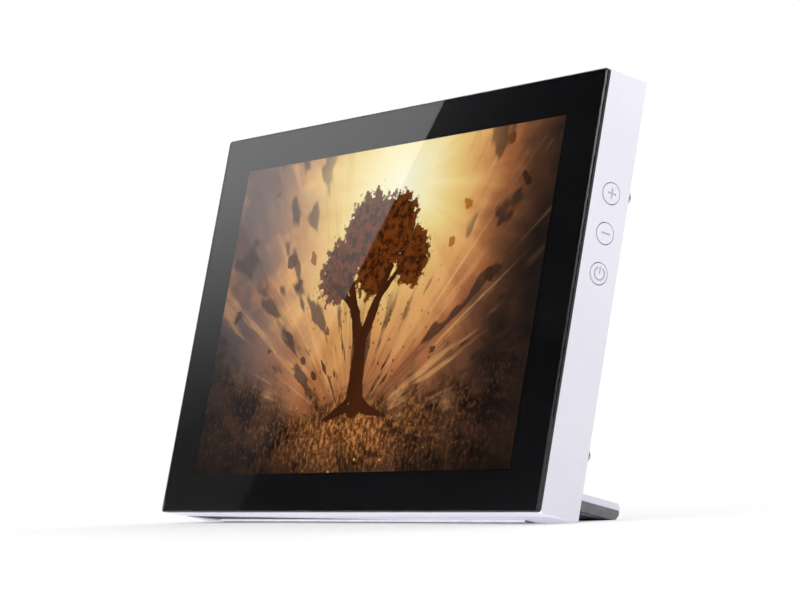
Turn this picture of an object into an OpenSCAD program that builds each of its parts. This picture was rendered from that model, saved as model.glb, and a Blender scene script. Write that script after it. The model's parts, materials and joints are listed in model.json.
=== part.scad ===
// Digital photo frame: a glass-fronted display in a white tub housing, with a rear cover that
// holds a folding stand. Modules draw the panel upright, in its own frame: x to the right,
// y back into its depth from the glass, z up from its bottom edge. leaned() then tips it back
// onto its rear bottom edge and the stand, with z = 0 on the table.

/* [Panel] */
// Width across the glass
panel_w = 257.9; // [245:1:320]
// Height of the glass
panel_h = 167.6; // [163:1:210]
// Depth from the glass to the back
panel_d = 19.9; // [19.9:0.1:25]
// How far the panel leans back, in degrees
lean = 14; // [10:1:18]
// Corner radius of the glass
glass_corner_r = 1.5; // [0.5:0.5:5]
// Corner radius of the white housing
shell_corner_r = 0.6; // [0.2:0.1:3]

/* [Glass and screen] */
// Cover glass thickness
glass_t = 1.1; // [0.7:0.1:1.2]
// Bevel along the front edges of the glass
glass_bevel = 0.5; // [0.1:0.05:0.6]
// Thickness of the printed border behind the glass
print_t = 0.1; // [0.05:0.05:0.2]
// Thickness of the black bonding gasket
gasket_t = 0.9; // [0.5:0.1:1.2]
// Visible picture width
screen_w = 216.96; // [180:0.01:217]
// Visible picture height
screen_h = 135.6; // [110:0.1:136]
// Display module border beyond the picture, left and right
cell_side = 6.2; // [4:0.1:6.5]
// Display module border beyond the picture, top and bottom
cell_end = 6.7; // [4:0.1:7]

/* [Housing] */
// Side wall thickness
wall_t = 2.0; // [1.6:0.1:2.6]
// Front ledge thickness
ledge_t = 2.0; // [1.4:0.1:2.2]
// Wall left outside the rear cover
lip_t = 1.2; // [0.8:0.1:1.5]
// Rear cover thickness
cover_t = 1.8; // [1.4:0.1:2.4]
// Gap between the rear cover and the housing
cover_gap = 0.15; // [0.1:0.05:0.3]
// Rear cover screws, in from the side edge
screw_inset = 3.5; // [3.2:0.1:6]
// Height of the lower right cover screw
screw_low = 25; // [12:1:60]
// Height of the upper cover screws
screw_high = 123; // [90:1:150]
// Cover screw shank radius
screw_r = 1.5; // [1:0.1:1.5]
// Cover screw length under the head
screw_len = 4; // [3:0.1:4.2]

/* [Ports] */
// Recess into the left side for the plugs
bay_w = 7.35; // [5:0.05:8]
// How far the plug recess reaches above the lower edge of the circuit board
bay_h = 52.4; // [50.4:0.2:60]
// Where the recess starts behind the glass
bay_front = 8.2; // [8.2:0.1:9]
// Wall between the recess and the inside
bay_wall = 1.5; // [1.2:0.1:1.8]

/* [Buttons] */
// Button cap radius
button_r = 4.0; // [3:0.1:4.5]
// Centre of the buttons behind the glass
button_depth = 11.2; // [10.5:0.1:12]
// Height of the top button
button_top = 121.8; // [100:0.1:140]
// Distance from one button to the next
button_pitch = 15.3; // [12:0.1:18]
// How far a button stands out of the side wall
button_proud = 0.3; // [0.1:0.05:0.6]
// Button travel
button_travel = 0.4; // [0.2:0.1:0.5]
// Clearance round a button
button_gap = 0.3; // [0.1:0.05:0.4]
// Depth of the symbols in the caps
symbol_depth = 0.25; // [0.1:0.05:0.4]
// Length of the arms of the plus and minus signs
symbol_w = 4.0; // [2:0.1:5]
// Width of a symbol's strokes
symbol_t = 0.7; // [0.3:0.1:1]

/* [Stand] */
// Half the width of the stand leaf
leaf_half_w = 110; // [95:1:110]
// Stand thickness
leaf_t = 6.6; // [5.8:0.1:6.6]
// Reach of the stand beyond its hinge
leaf_reach = 38; // [34:0.5:40]
// Height of the hinge above the bottom edge
hinge_up = 11.2; // [11:0.1:14]
// Thickness of the white part at the ends of the leaf
leaf_band = 2.6; // [2:0.1:3]
// Clearance round the folded leaf
leaf_gap = 0.4; // [0.3:0.05:0.8]
// Hinge pin radius
pin_r = 1.5; // [1.2:0.1:1.6]
// Radial clearance between pin and bracket
pin_gap = 0.05; // [0.02:0.01:0.1]
// Distance from the centre to each hinge
hinge_x = 80; // [60:1:85]
// Width of a hinge bracket
bracket_w = 12; // [8:0.5:14]
// Thickness of the rubber end caps of the stand
pad_t = 3; // [2:0.5:5]

/* [Wall mount] */
// Spacing of the four threaded inserts
mount_pitch = 75; // [75, 100]
// Height of the middle of the insert pattern
mount_up = 96; // [94:1:108]
// Insert bore radius
insert_r = 2.0; // [1.5, 2.0]
// Insert length
insert_len = 8; // [5:0.5:8]

/* [Inside] */
// Chassis plate thickness
chassis_t = 0.8; // [0.6:0.1:1]
// Depth of the chassis plate behind the glass
chassis_front = 5.6; // [5.6:0.1:6]
// Depth of the circuit board behind the glass
board_front = 7.6; // [7.6:0.1:8]
// Circuit board thickness
board_t = 1.2; // [0.8:0.1:1.2]
// Half the length of the foot strip
foot_half_w = 104; // [80:1:110]
// How far the foot strip stands below the bottom
foot_proud = 0.8; // [0.4:0.1:1.2]

/* [Hidden] */
$fn = 48;

// Overshoot of a cut past the face it opens, and how far joined shapes run into each other
over = 1;
weld = 0.5;
half_w = panel_w / 2;
// Depths from the glass backwards
print_back = glass_t + print_t;
gasket_back = print_back + gasket_t;
shell_front = gasket_back;
ledge_back = shell_front + ledge_t;
chassis_back = chassis_front + chassis_t;
cover_front = panel_d - cover_t;
board_back = board_front + board_t;
// Insides of the walls
inner_x = half_w - wall_t;
cover_x = half_w - lip_t - cover_gap;
cover_low = lip_t + cover_gap;
cover_top = panel_h - lip_t - cover_gap;
// The black border and gasket end this far inside the glass's edge
black_inset = 0.1;
// Display module, centred on the glass: its layers lie stack_gap apart in a folded steel tray
stack_gap = 0.05;
screen_low = (panel_h - screen_h) / 2;
cell_x = screen_w / 2 + cell_side;
cell_low = screen_low - cell_end;
cell_top = panel_h - cell_low;
cell_gap = 0.4;
cell_front = print_back + stack_gap;
cell_t = 1.0;
film_front = cell_front + cell_t + stack_gap;
film_t = 0.4;
guide_front = film_front + film_t + stack_gap;
guide_t = 1.7;
reflector_front = guide_front + guide_t + stack_gap;
reflector_t = 0.15;
tray_back = chassis_front - 0.3;
tray_t = 0.4;
cell_inset = tray_t + 0.1;
sheet_inset = 1;
// Room for the lamps below the light guide
led_room = 3.4;
// The display's flat cable leaves between these two places
flex_left = -70;
flex_right = -46;
// The circuit board's lower edge, and the plug recess beside it
board_low = cell_low + 0.3;
bay_top = board_low + bay_h;
bay_x = -half_w + bay_w;
bay_in_x = bay_x + bay_wall;
bay_shell = 1.2;
// Stand: the hinge axis, the leaf's faces about it, and its pocket in the rear cover
flush_gap = 0.1;
leaf_low = 3.6;
leaf_high = leaf_t - leaf_low;
barrel_r = leaf_high;
hinge_in = panel_d - flush_gap - leaf_low;
pocket_floor = hinge_in - leaf_high - 0.3;
pocket_skin = 1.2;
pocket_low = hinge_up - leaf_low - leaf_gap;
pocket_top = hinge_up + leaf_reach + leaf_gap + 0.6;
pocket_x = leaf_half_w + leaf_gap + 0.2;
pocket_wall = 1.4;
pad_drop = leaf_t - leaf_band;
pad_start = panel_d + 0.5 - hinge_in;
pad_tip = 5;
pad_fit = 0.05;
pin_half_len = 14;
knuckle_r = 2.6;
arm_half_t = 1.6;
notch_half_w = bracket_w / 2 + 0.6;
notch_reach = 13;
foot_plate_t = 1.2;
foot_plate_top = hinge_up + 10.8;
hinge_screw_up = hinge_up + 6.6;
// Table plane in the panel's frame: it touches the foot strip foot_in behind the glass
foot_in = 17.5;
foot_front = 15.0;
foot_back = 19.6;
foot_groove = 0.6;
// Clearance of what slides into a groove
slip = 0.1;
// Fine V line across the bottom
line_depth = 7.2;
line_size = 0.3;
function table_up(depth) = (depth - foot_in) * tan(lean) - foot_proud;
lift = foot_in * sin(lean) + foot_proud * cos(lean);
// The middle of the whole depth, from the front bottom edge to the top of the back
mid_y = (panel_d * cos(lean) + panel_h * sin(lean)) / 2;
// Cover screws as [x, up]: the lower left one sits above the plug recess
cover_points = [[half_w - screw_inset, screw_low], [half_w - screw_inset, screw_high],
    [-half_w + screw_inset, screw_high], [-half_w + screw_inset, bay_top + 8],
    [0, panel_h - 4.6]];
boss_r = 2.75;
head_r = 2.8;
head_h = 2.0;
// Clearance of a screw in the boss that its real thread cuts into
bite_gap = 0.02;
// Buttons, from the top: plus, minus, power
plus_up = button_top;
minus_up = button_top - button_pitch;
power_up_side = button_top - 2 * button_pitch;
// Chassis screws on the ledge beside the display module: the middle ones clear the buttons' cable
chassis_boss_r = 2.4;
chassis_screw_r = 0.95;
chassis_screw_len = 3.2;
chassis_x = cell_x + cell_gap + chassis_boss_r + 0.1;
chassis_points = [for (side = [-1, 1], up = [cell_low + 14, power_up_side - 21.4, cell_top - 14])
    [side * chassis_x, up]];
// Circuit board, its screws and the sockets on its left edge
board_left = bay_in_x + 0.5;
board_right = -20;
board_top = board_low + 54.4;
board_points = [[board_left + 4, board_top - 4], [board_right - 4, board_top - 4],
    [board_right - 4, board_low + 4], [board_left + 13, board_low + 4]];
stand_off_r = 3;
board_screw_r = 1.2;
board_screw_len = 2.8;
socket_left = bay_x + 0.2;
// Sockets of the display's cable, the buttons' ribbon and the speaker leads
flex_socket_low = board_low + 4.9;
ribbon_low = board_low + 28.4;
ribbon_w = 5.5;
ribbon_t = 0.3;
lead_socket_up = board_top - 4;
lead_t = 1;
usb_w = 8.9;
usb_h = 3.2;
usb_len = 7.4;
card_w = 26;
card_h = 2.7;
card_len = 27;
power_up = board_low + 5;
data_up = power_up + usb_w + 1.5;
card_up = data_up + (usb_w + card_w) / 2 + 1.7;
port_gap = 0.3;
// Buttons
flange_r = button_r + 1;
flange_back = inner_x - 0.3;
flange_t = 1.25;
stem_r = 1.7;
stem_gap = 0.05;
stem_tip = flange_back - flange_t - 1.1;
// How deep the switch's own stem sits in the switch at rest, and how deep its well is
stem_in = 1.5;
stem_well = stem_in + button_travel + 0.3;
switch_front = stem_tip - button_travel - 0.8;
switch_back = switch_front - 3.5;
switch_half_w = 3;
button_board_t = 1.0;
button_board_low = power_up_side - 8;
button_board_high = plus_up + 8;
button_board_near = 8.2;
button_board_far = 14.4;
rib_reach = 3;
rib_t = 2.2;
rib_far = 15;
rib_starts = [button_board_low - 1.6, button_board_high - 0.6];
// Speakers behind the rear cover, and the holes over them
speaker_x = 84;
speaker_up = 82;
speaker_half_w = 15;
speaker_half_h = 7.5;
speaker_t = 5;
speaker_r = 2;
speaker_gap = 0.4;
speaker_wall = 1.6;
hole_pitch = 3.2;
// Vents near the top, and the notch for a fingertip above the folded leaf
vent_starts = [-71, 24];
vent_count = 10;
vent_pitch = 5;
vent_w = 2;
finger_half_w = 11.5;
finger_reach = 8;
finger_depth = cover_t + 0.8;
// Threaded inserts and their bosses
insert_out_r = 2.95;
insert_boss_r = 4.6;
// Hinge screws and their bosses
hinge_screw_r = 1.0;
hinge_boss_r = 2.3;
mount_points = [for (side = [-1, 1], row = [-1, 1])
    [side * mount_pitch / 2, mount_up + row * mount_pitch / 2]];
glass_colour = [0.12, 0.12, 0.13, 0.5];
white = [0.93, 0.92, 0.95];
black = [0.05, 0.05, 0.06];
steel = [0.72, 0.73, 0.74];
board_green = [0.1, 0.35, 0.22];

// ---- helpers ----

module leaned() translate([0, -mid_y, lift]) rotate([-lean, 0, 0]) children();

// A flat outline drawn in x and up, from depth near to depth far
module slab(near, far) translate([0, far, 0]) rotate([90, 0, 0]) linear_extrude(far - near) children();

// A profile drawn in depth and up, from x = left to x = right
module along(left, right)
    translate([left, 0, 0]) rotate([90, 0, 90]) linear_extrude(right - left) children();

// A profile drawn in x and depth, between two heights
module rising(low, high) translate([0, 0, low]) linear_extrude(high - low) children();

module rect(left, right, low, high) translate([left, low]) square([right - left, high - low]);

module round_rect(left, right, low, high, r) {
    rect(left + r, right - r, low, high);
    rect(left, right, low + r, high - r);
    for (x = [left + r, right - r], up = [low + r, high - r]) translate([x, up]) circle(r);
}

// A round peg or bore running into the depth
module peg(x, up, near, far, r) translate([x, near, up]) rotate([-90, 0, 0]) cylinder(h = far - near, r = r);

// A round pin or bore running across
module axle(depth, up, left, right, r)
    translate([left, depth, up]) rotate([0, 90, 0]) cylinder(h = right - left, r = r);

module block(left, right, near, far, low, high)
    translate([left, near, low]) cube([right - left, far - near, high - low]);

// A pan-head screw whose head bears on depth seat and whose shank points to the glass
module screw(x, up, seat, r, length, cap_r, cap_h) {
    edge = cap_h * 0.4;
    difference() {
        union() {
            peg(x, up, seat - length, seat, r);
            peg(x, up, seat, seat + cap_h - edge, cap_r);
            translate([x, seat + cap_h - edge, up]) rotate([-90, 0, 0])
                cylinder(h = edge, r1 = cap_r, r2 = cap_r * 0.72);
        }
        for (turn = [0, 90]) translate([x, seat + cap_h, up]) rotate([0, turn, 0])
            cube([cap_r, cap_h * 0.9, cap_r * 0.26], center = true);
    }
}

// ---- glass, screen and backlight ----

module glass_outline(inset = 0)
    round_rect(-half_w + inset, half_w - inset, inset, panel_h - inset, glass_corner_r);

module window(grow)
    rect(-screen_w / 2 - grow, screen_w / 2 + grow, screen_low - grow, panel_h - screen_low + grow);

module cover_glass() color(glass_colour) leaned() intersection() {
    slab(0, glass_t) glass_outline();
    along(-half_w, half_w) polygon([[0, glass_bevel], [glass_bevel, 0], [glass_t, 0],
        [glass_t, panel_h], [glass_bevel, panel_h], [0, panel_h - glass_bevel]]);
    rising(0, panel_h) polygon([[-half_w + glass_bevel, 0], [-half_w, glass_bevel],
        [-half_w, glass_t], [half_w, glass_t], [half_w, glass_bevel], [half_w - glass_bevel, 0]]);
}

module border_mask() color(black) leaned() slab(glass_t, print_back) difference() {
    glass_outline(black_inset);
    window(0);
}

module glass_gasket() color(black) leaned() slab(print_back, gasket_back) difference() {
    glass_outline(black_inset);
    rect(-cell_x - cell_gap, cell_x + cell_gap, cell_low - cell_gap, cell_top + cell_gap);
}

module cell_plate(near, thick, inset)
    slab(near, near + thick) rect(-cell_x + inset, cell_x - inset, cell_low + inset, cell_top - inset);

module lcd_cell() color([0.75, 0.5, 0.2]) leaned() cell_plate(cell_front, cell_t, cell_inset);

module diffuser_sheet() color([0.95, 0.95, 0.93]) leaned() cell_plate(film_front, film_t, sheet_inset);

module light_guide() color([0.85, 0.92, 0.95, 0.6]) leaned() difference() {
    cell_plate(guide_front, guide_t, sheet_inset);
    block(-cell_x, cell_x, guide_front - over, guide_front + guide_t + over, cell_low, cell_low + led_room);
}

module reflector_sheet() color("white") leaned() cell_plate(reflector_front, reflector_t, sheet_inset);

module led_strip() color([0.95, 0.85, 0.4]) leaned() {
    strip_x = cell_x - 4;
    strip_low = cell_low + tray_t + 0.3;
    strip_t = 0.6;
    leds = 18;
    led_half_w = 1.9;
    led_h = 1.0;
    block(-strip_x, strip_x, guide_front, guide_front + guide_t, strip_low, strip_low + strip_t);
    for (i = [0 : leds - 1]) {
        x = -strip_x + (i + 0.5) * 2 * strip_x / leds;
        block(x - led_half_w, x + led_half_w, guide_front + 0.3, guide_front + guide_t - 0.4,
            strip_low + strip_t - 0.1, strip_low + strip_t + led_h);
    }
}

module backlight_tray() color(steel) leaned() difference() {
    slab(cell_front + 0.2, tray_back) rect(-cell_x, cell_x, cell_low, cell_top);
    slab(cell_front, tray_back - tray_t)
        rect(-cell_x + tray_t, cell_x - tray_t, cell_low + tray_t, cell_top - tray_t);
    // Slot where the display's flat cable leaves
    block(flex_left - 2, flex_right + 2, cell_front, tray_back - 1, cell_low - over, cell_low + 1);
}

// ---- chassis and housing ----

// Windows that lighten the chassis: three above the middle, one low on the right
module chassis_windows() {
    window_r = 4;
    half_across = 20;
    for (x = [-60, 0, 60])
        round_rect(x - half_across, x + half_across, panel_h / 2 - 2, cell_top - 18, window_r);
    round_rect(20, 90, cell_low + 12, panel_h / 2 - 14, window_r);
}

module chassis_plate() color(steel) leaned() difference() {
    union() {
        slab(chassis_front, chassis_back) difference() {
            rect(-inner_x + 1, inner_x - 1, cell_low - 2, cell_top + 2);
            chassis_windows();
            rect(flex_left - 3, flex_right + 3, 0, cell_low + 1.5);
            for (p = cover_points) translate(p) circle(boss_r + 0.5);
            rect(switch_back - rib_reach - 0.5, half_w, rib_starts[0] - 0.5, rib_starts[1] + rib_t + 0.5);
        }
        for (p = board_points) peg(p[0], p[1], chassis_back - chassis_t / 2, board_front, stand_off_r);
    }
    for (p = board_points) peg(p[0], p[1], chassis_front - over, board_front + over, board_screw_r + 0.05);
    for (p = chassis_points)
        peg(p[0], p[1], chassis_front - over, chassis_back + over, chassis_screw_r + 0.2);
}

module chassis_screws() color(steel) leaned()
    for (p = chassis_points)
        screw(p[0], p[1], chassis_back, chassis_screw_r, chassis_screw_len, 2 * chassis_screw_r, 1.0);

module shell_outline() round_rect(-half_w, half_w, 0, panel_h, shell_corner_r);

module cover_outline(grow = 0) difference() {
    rect(-cover_x - grow, cover_x + grow, cover_low - grow, cover_top + grow);
    rect(-half_w, bay_in_x - lip_t / 2 - grow, 0, bay_top + bay_wall - lip_t / 2 - grow);
}

// A cover screw's boss reaches the ledge, or stops short of a button that is in its way
function boss_start(p) = p[0] > 0 && abs(p[1] - plus_up) < button_r + boss_r
    ? button_depth + button_r + 0.3 : ledge_back - weld;

module port_holes() {
    for (up = [power_up, data_up])
        block(bay_x - over, bay_in_x + over, board_back - port_gap, board_back + usb_h + port_gap,
            up - usb_w / 2 - port_gap, up + usb_w / 2 + port_gap);
    block(bay_x - over, bay_in_x + over, board_back - port_gap, board_back + card_h + port_gap,
        card_up - card_w / 2 - port_gap, card_up + card_w / 2 + port_gap);
}

module main_housing() color(white) leaned() difference() {
    union() {
        slab(shell_front, panel_d) difference() {
            shell_outline();
            rect(-inner_x, inner_x, wall_t, panel_h - wall_t);
        }
        slab(shell_front, ledge_back) difference() {
            shell_outline();
            rect(-cell_x - cell_gap, cell_x + cell_gap, cell_low - cell_gap, cell_top + cell_gap);
        }
        block(-half_w + shell_corner_r, bay_in_x, bay_front - bay_shell, panel_d,
            wall_t / 2, bay_top + bay_wall);
        for (p = cover_points) peg(p[0], p[1], boss_start(p), cover_front, boss_r);
        for (p = chassis_points) peg(p[0], p[1], ledge_back - weld, chassis_front, chassis_boss_r);
        // Grooved ribs that hold the button board
        for (up = rib_starts)
            block(switch_back - rib_reach, inner_x + weld, ledge_back - weld, rib_far, up, up + rib_t);
    }
    block(-half_w - over, bay_x, bay_front, panel_d + over, -over, bay_top);
    slab(cover_front, panel_d + over) cover_outline(cover_gap);
    for (p = cover_points) peg(p[0], p[1], panel_d - screw_len - 0.2, cover_front + over, screw_r + bite_gap);
    for (p = chassis_points)
        peg(p[0], p[1], chassis_back - chassis_screw_len - 0.3, chassis_front + over,
            chassis_screw_r + bite_gap);
    for (up = [plus_up, minus_up, power_up_side])
        axle(button_depth, up, inner_x - over, half_w + over, button_r + button_gap);
    port_holes();
    block(switch_back - button_board_t - slip, switch_back + slip, button_board_near - slip, rib_far + over,
        button_board_low - slip, button_board_high + slip);
    // Groove under the bottom that the foot strip sits in, and the fine line in front of it
    block(-foot_half_w - slip, foot_half_w + slip, foot_front - slip, foot_back + slip, -over,
        foot_groove + slip / 2);
    along(-half_w - over, half_w + over) polygon([[line_depth - line_size, -0.01],
        [line_depth, line_size], [line_depth + line_size, -0.01]]);
}

// ---- rear cover ----

module vent_row(start)
    for (i = [0 : vent_count - 1]) {
        left = start + i * vent_pitch;
        round_rect(left, left + vent_w, panel_h - 22, panel_h - 10, vent_w / 2 - 0.01);
    }

module speaker_holes(x)
    for (i = [-3 : 3], j = [-1 : 1])
        translate([x + i * hole_pitch, speaker_up + j * hole_pitch]) circle(hole_pitch / 4, $fn = 24);

// An outline round a speaker, grown by a wall
module speaker_outline(x, grow) round_rect(x - speaker_half_w - grow, x + speaker_half_w + grow,
    speaker_up - speaker_half_h - grow, speaker_up + speaker_half_h + grow, speaker_r);

module rear_cover() color(white) leaned() difference() {
    union() {
        slab(cover_front, panel_d) cover_outline();
        block(-pocket_x - pocket_wall, pocket_x + pocket_wall, pocket_floor - pocket_skin,
            cover_front + weld, pocket_low - pocket_wall, pocket_top + pocket_wall);
        for (p = mount_points)
            peg(p[0], p[1], panel_d - insert_len - pocket_skin, cover_front + weld, insert_boss_r);
        for (x = [-speaker_x, speaker_x]) slab(cover_front - 3, cover_front + weld) difference() {
            speaker_outline(x, speaker_gap + speaker_wall);
            speaker_outline(x, speaker_gap);
        }
        for (p = hinge_screw_points)
            peg(p[0], p[1], pocket_floor - 2.6, pocket_floor - 0.3, hinge_boss_r);
        // Skin round the finger notch
        block(-finger_half_w - pocket_wall, finger_half_w + pocket_wall,
            panel_d - finger_depth - pocket_skin, cover_front + weld,
            pocket_top - over, pocket_top + finger_reach + pocket_wall);
    }
    block(-pocket_x, pocket_x, pocket_floor, panel_d + over, pocket_low, pocket_top);
    block(-finger_half_w, finger_half_w, panel_d - finger_depth, panel_d + over,
        pocket_top - over, pocket_top + finger_reach);
    for (p = mount_points) peg(p[0], p[1], panel_d - insert_len, panel_d + over, insert_out_r);
    for (p = cover_points) peg(p[0], p[1], cover_front - over, panel_d + over, screw_r + 0.15);
    for (p = hinge_screw_points)
        peg(p[0], p[1], pocket_floor - 2.2, pocket_floor + over, hinge_screw_r + bite_gap);
    slab(cover_front - over, panel_d + over) {
        for (start = vent_starts) vent_row(start);
        for (x = [-speaker_x, speaker_x]) speaker_holes(x);
    }
}

module cover_screws() color(steel) leaned()
    for (p = cover_points) screw(p[0], p[1], panel_d, screw_r, screw_len, head_r, head_h);

module vesa_inserts() color([0.8, 0.65, 0.3]) leaned() for (p = mount_points) difference() {
    peg(p[0], p[1], panel_d - insert_len + 0.05, panel_d - 0.05, insert_out_r);
    peg(p[0], p[1], panel_d - insert_len - over, panel_d + over, insert_r);
}

// ---- electronics ----

module mainboard() color(board_green) leaned() difference() {
    slab(board_front, board_back) rect(board_left, board_right, board_low, board_top);
    for (p = board_points) peg(p[0], p[1], board_front - over, board_back + over, board_screw_r + 0.15);
}

// A block on the circuit board: left and right, height off the board, low and high up the board
module on_board(left, right, tall, low, high)
    block(left, right, board_back, board_back + tall, board_low + low, board_low + high);

module main_chip() color(black) leaned() on_board(-70, -52, 1.2, 28.4, 46.4);

module board_components() color([0.2, 0.2, 0.22]) leaned() {
    for (i = [0 : 3]) on_board(-47 + i * 6, -43 + i * 6, 1.5, 34.4, 40.4);
    on_board(-90, -82, 1.0, 12.4, 22.4);
    on_board(-46, -34, 1.0, 16.4, 24.4);
    for (x = [-30, -62]) on_board(x, x + 5, 2.0, 6.4, 11.4);
    // Sockets for the flat cables and the speaker leads
    block(flex_left, flex_right, board_back, board_back + 1.4, flex_socket_low, flex_socket_low + 4.5);
    block(board_right - 4.5, board_right - 0.5, board_back, board_back + 1.4,
        ribbon_low - 2, ribbon_low + ribbon_w + 2.5);
    block(-36, -28, board_back, board_back + 1.6, lead_socket_up - 4, lead_socket_up);
}

module board_screws() color(steel) leaned()
    for (p = board_points) screw(p[0], p[1], board_back, board_screw_r, board_screw_len, 2.3, 1.2);

module display_flex() color([0.75, 0.45, 0.1]) leaned() {
    thick = 0.12;
    drop = cell_low - 0.15;
    near = cell_front + 0.4;
    far = board_back + 0.6;
    start = cell_low + cell_inset;
    along(flex_left, flex_right) polygon([[near, start], [near, drop - thick],
        [far + thick, drop - thick], [far + thick, flex_socket_low], [far, flex_socket_low],
        [far, drop], [near + thick, drop], [near + thick, start]]);
}

module usb_socket(up) difference() {
    can_t = 0.35;
    tongue_t = 0.7;
    tongue_half_w = 3.3;
    middle = board_back + usb_h / 2;
    block(socket_left, socket_left + usb_len, board_back, board_back + usb_h,
        up - usb_w / 2, up + usb_w / 2);
    difference() {
        block(socket_left - over, socket_left + usb_len - 1, board_back + can_t, board_back + usb_h - can_t,
            up - usb_w / 2 + can_t, up + usb_w / 2 - can_t);
        block(socket_left + 0.6, socket_left + usb_len, middle - tongue_t / 2, middle + tongue_t / 2,
            up - tongue_half_w, up + tongue_half_w);
    }
}

module power_inlet() color(steel) leaned() usb_socket(power_up);

module usb_port() color(steel) leaned() usb_socket(data_up);

module card_slot() color(steel) leaned() difference() {
    can_t = 0.3;
    side_t = 0.7;
    end_t = 2;
    block(socket_left, socket_left + card_len, board_back, board_back + card_h,
        card_up - card_w / 2, card_up + card_w / 2);
    block(socket_left - over, socket_left + card_len - end_t, board_back + can_t,
        board_back + card_h - can_t, card_up - card_w / 2 + side_t, card_up + card_w / 2 - side_t);
}

module speakers() color([0.15, 0.15, 0.16]) leaned() for (x = [-speaker_x, speaker_x]) {
    far = cover_front - 0.2;
    cone_depth = 1.6;
    difference() {
        slab(far - speaker_t, far) speaker_outline(x, 0);
        translate([x, far - cone_depth, speaker_up]) rotate([-90, 0, 0]) cylinder(h = 2, r1 = 3, r2 = 6.4);
    }
}

// Two-wire leads from the circuit board up to the speakers
module speaker_leads() color([0.6, 0.1, 0.1]) leaned() {
    near = board_back + 0.2;
    low = speaker_up - lead_t;
    high = speaker_up + lead_t;
    outer = speaker_x - speaker_half_w;
    block(-33, -31, near, near + lead_t, lead_socket_up, low);
    block(-outer, outer, near, near + lead_t, low, high);
    for (left = [-outer, outer - lead_t]) block(left, left + lead_t, near, cover_front - 4, low, high);
}

// ---- buttons ----

module button_board() color(board_green) leaned()
    block(switch_back - button_board_t, switch_back, button_board_near, button_board_far,
        button_board_low, button_board_high);

module button_switches() color([0.2, 0.2, 0.2]) leaned()
    for (up = [plus_up, minus_up, power_up_side]) difference() {
        block(switch_back, switch_front, button_depth - switch_half_w, button_depth + switch_half_w,
            up - switch_half_w, up + switch_half_w);
        axle(button_depth, up, switch_front - stem_well, switch_front + over, stem_r + stem_gap);
    }

// Flat cable from the button board down the chassis and across to the circuit board
module button_cable() color([0.9, 0.9, 0.85]) leaned() {
    far = chassis_back + 0.1 + ribbon_t;
    turn_x = switch_back - 4.5;
    high = ribbon_low + ribbon_w;
    join_high = button_board_low + 8;
    join_low = join_high - ribbon_w;
    behind = switch_back - button_board_t;
    rise_x = board_right + 4;
    slab(far - ribbon_t, far) {
        rect(turn_x - ribbon_w, turn_x, ribbon_low, join_high);
        rect(rise_x, turn_x, ribbon_low, high);
    }
    block(turn_x - weld, behind, far - ribbon_t, far, join_low, join_high);
    block(behind - ribbon_t, behind, far - 0.1, 10, join_low, join_high);
    block(rise_x, rise_x + ribbon_t, far - 0.1, board_back + 0.6 + ribbon_t, ribbon_low, high);
    block(board_right - 0.5, rise_x + ribbon_t, board_back + 0.6, board_back + 0.6 + ribbon_t,
        ribbon_low, high);
}

module button_cap(up) {
    face = half_w + button_proud;
    edge = 0.3;
    axle(button_depth, up, flange_back - weld, face - edge, button_r);
    translate([face - edge, button_depth, up]) rotate([0, 90, 0])
        cylinder(h = edge, r1 = button_r, r2 = button_r - edge);
    // The flange is cut flat front and back, which keys the cap against turning
    intersection() {
        axle(button_depth, up, flange_back - flange_t, flange_back, flange_r);
        block(0, half_w, button_depth - button_r, button_depth + button_r, up - flange_r, up + flange_r);
    }
    axle(button_depth, up, stem_tip, flange_back - flange_t + weld, stem_r - 0.2);
}

// A stroke of a symbol, centred on the button, cut into its face
module stroke(up, deep, tall)
    translate([half_w + button_proud, button_depth, up]) cube([2 * symbol_depth, deep, tall], center = true);

module plus_button() color(white) leaned() difference() {
    button_cap(plus_up);
    stroke(plus_up, symbol_w, symbol_t);
    stroke(plus_up, symbol_t, symbol_w);
}

module minus_button() color(white) leaned() difference() {
    button_cap(minus_up);
    stroke(minus_up, symbol_w, symbol_t);
}

module power_button() color(white) leaned() difference() {
    ring_r = symbol_w / 2 + symbol_t;
    button_cap(power_up_side);
    difference() {
        axle(button_depth, power_up_side, half_w + button_proud - symbol_depth, half_w + over, ring_r);
        axle(button_depth, power_up_side, half_w - over, half_w + 2 * over, ring_r - symbol_t);
        translate([half_w, button_depth, power_up_side + ring_r])
            cube([4, 3 * symbol_t, 2 * ring_r], center = true);
    }
    stroke(power_up_side + ring_r / 2, symbol_t, ring_r);
}

module switch_stem(up) axle(button_depth, up, switch_front - stem_in, stem_tip, stem_r);

module plus_switch_stem() color("dimgray") leaned() switch_stem(plus_up);

module minus_switch_stem() color("dimgray") leaned() switch_stem(minus_up);

module power_switch_stem() color("dimgray") leaned() switch_stem(power_up_side);

// ---- stand ----

hinge_screw_points = [for (x = [-hinge_x, hinge_x]) [x, hinge_screw_up]];

// The opened stand's profile in depth and up, with the tip's lower corner cut level with the table
module leaf_profile(clear) {
    tip = hinge_in + leaf_reach;
    low = hinge_up - leaf_low;
    high = hinge_up + leaf_high;
    meets = foot_in + (low + foot_proud - clear) / tan(lean);
    polygon([[hinge_in, low], [meets, low], [tip - 1.2, table_up(tip - 1.2) + clear],
        [tip, table_up(tip) + clear + 1.4], [tip, high - 1.2], [tip - 1.2, high], [hinge_in, high]]);
    translate([hinge_in, hinge_up]) circle(barrel_r);
}

// The rubber's share of the profile: both end faces below the white band, and the tip
module pad_zone(from_depth)
    translate([from_depth, hinge_up - leaf_low - over])
        square([hinge_in + leaf_reach + over - from_depth, pad_drop + over]);

module leaf_notches() for (x = [-hinge_x, hinge_x])
    block(x - notch_half_w, x + notch_half_w, hinge_in - leaf_t, hinge_in + notch_reach,
        hinge_up - leaf_t, hinge_up + leaf_t);

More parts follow.
